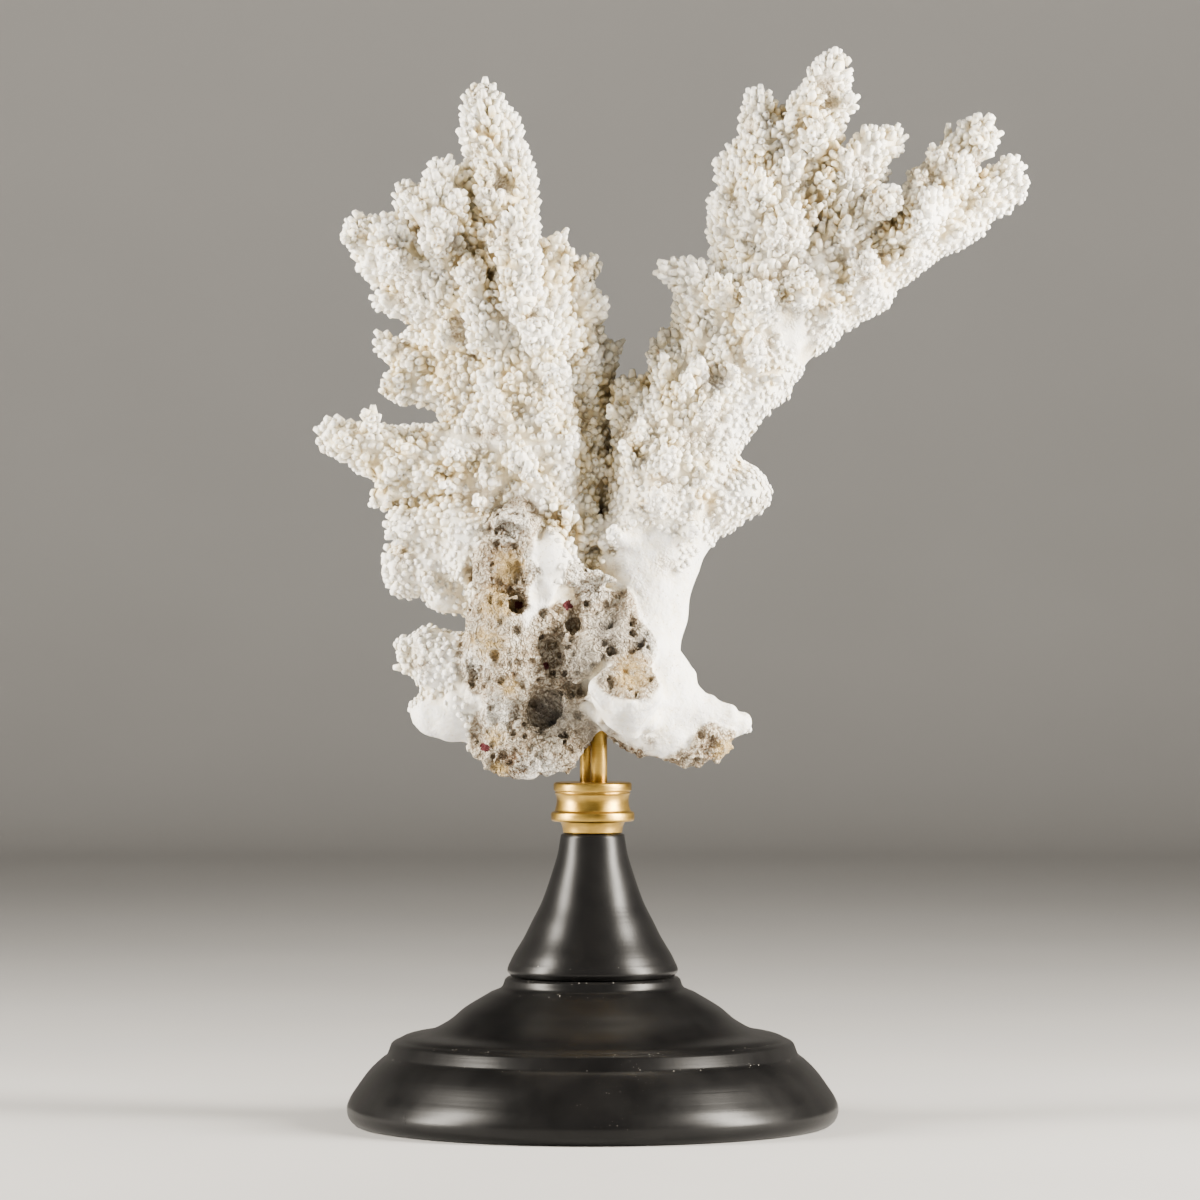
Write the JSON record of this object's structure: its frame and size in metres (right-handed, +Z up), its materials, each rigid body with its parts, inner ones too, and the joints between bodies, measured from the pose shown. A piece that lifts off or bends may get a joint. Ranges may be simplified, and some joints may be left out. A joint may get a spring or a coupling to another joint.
{
  "type": "branching coral on a turned stand",
  "caption": "Bleached branching stony coral held on brass rods above a turned brass collar and a black-stained turned wooden stand, free-standing for display.",
  "frame": {"origin": "on the axis of the turned stand, at the flat underside of its foot, where it rests on the table", "axes": "+Z up along the stand's axis, -Y to the front, the side the picture shows, and +X to the viewer's right, toward the long slanting arm"},
  "size_m": [0.2593, 0.18, 0.3938],
  "materials": {
    "black_wood": "satin",
    "brass": "satin",
    "coral": "matte",
    "coral_root": "matte"
  },
  "bodies": {
    "root": {"wooden_foot": "black_wood", "wooden_neck": "black_wood", "brass_collar": "brass", "brass_rod_front": "brass", "brass_rod_back": "brass", "coral_root": "coral_root", "coral_right_foot": "coral", "coral_left_trunk": "coral", "coral_right_trunk": "coral", "coral_knob": "coral", "coral_lower_left_lobes": "coral", "coral_low_left_branch": "coral", "coral_long_left_branch": "coral", "coral_upper_left_branch": "coral", "coral_top_finger": "coral", "coral_outer_right_branch": "coral", "coral_upper_right_branch": "coral", "coral_middle_right_branch": "coral"}
  },
  "joints": []
}
